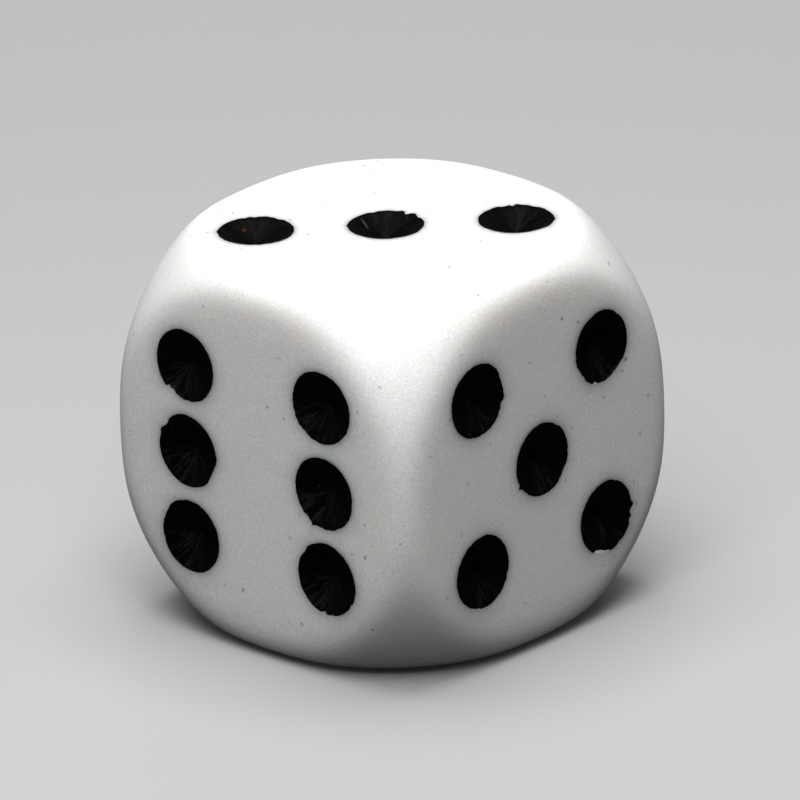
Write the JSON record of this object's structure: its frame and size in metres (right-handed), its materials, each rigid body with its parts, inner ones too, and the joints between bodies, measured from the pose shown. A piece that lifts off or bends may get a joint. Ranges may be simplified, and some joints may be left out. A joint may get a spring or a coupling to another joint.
{
  "type": "giant yard dice",
  "caption": "Giant white plastic die with ball-shaped corners, softly rolled edges and shallow drilled pips lined with black enamel.",
  "frame": {"origin": "centre of the cube, where the three lines through opposite faces cross", "axes": "+Z out of the face with three pips, +X out of the face with five, -Y out of the face with six"},
  "size_m": [0.0888, 0.0888, 0.0888],
  "materials": {
    "white_plastic": "satin",
    "black_enamel": "satin"
  },
  "bodies": {
    "root": {"die_body": "white_plastic", "pip_enamel_1_centre": "black_enamel", "pip_enamel_2_upper_left": "black_enamel", "pip_enamel_2_lower_right": "black_enamel", "pip_enamel_3_lower_left": "black_enamel", "pip_enamel_3_centre": "black_enamel", "pip_enamel_3_upper_right": "black_enamel", "pip_enamel_4_upper_left": "black_enamel", "pip_enamel_4_upper_right": "black_enamel", "pip_enamel_4_lower_left": "black_enamel", "pip_enamel_4_lower_right": "black_enamel", "pip_enamel_5_upper_left": "black_enamel", "pip_enamel_5_upper_right": "black_enamel", "pip_enamel_5_lower_left": "black_enamel", "pip_enamel_5_lower_right": "black_enamel", "pip_enamel_5_centre": "black_enamel", "pip_enamel_6_upper_left": "black_enamel", "pip_enamel_6_upper_right": "black_enamel", "pip_enamel_6_lower_left": "black_enamel", "pip_enamel_6_lower_right": "black_enamel", "pip_enamel_6_middle_left": "black_enamel", "pip_enamel_6_middle_right": "black_enamel"}
  },
  "joints": []
}
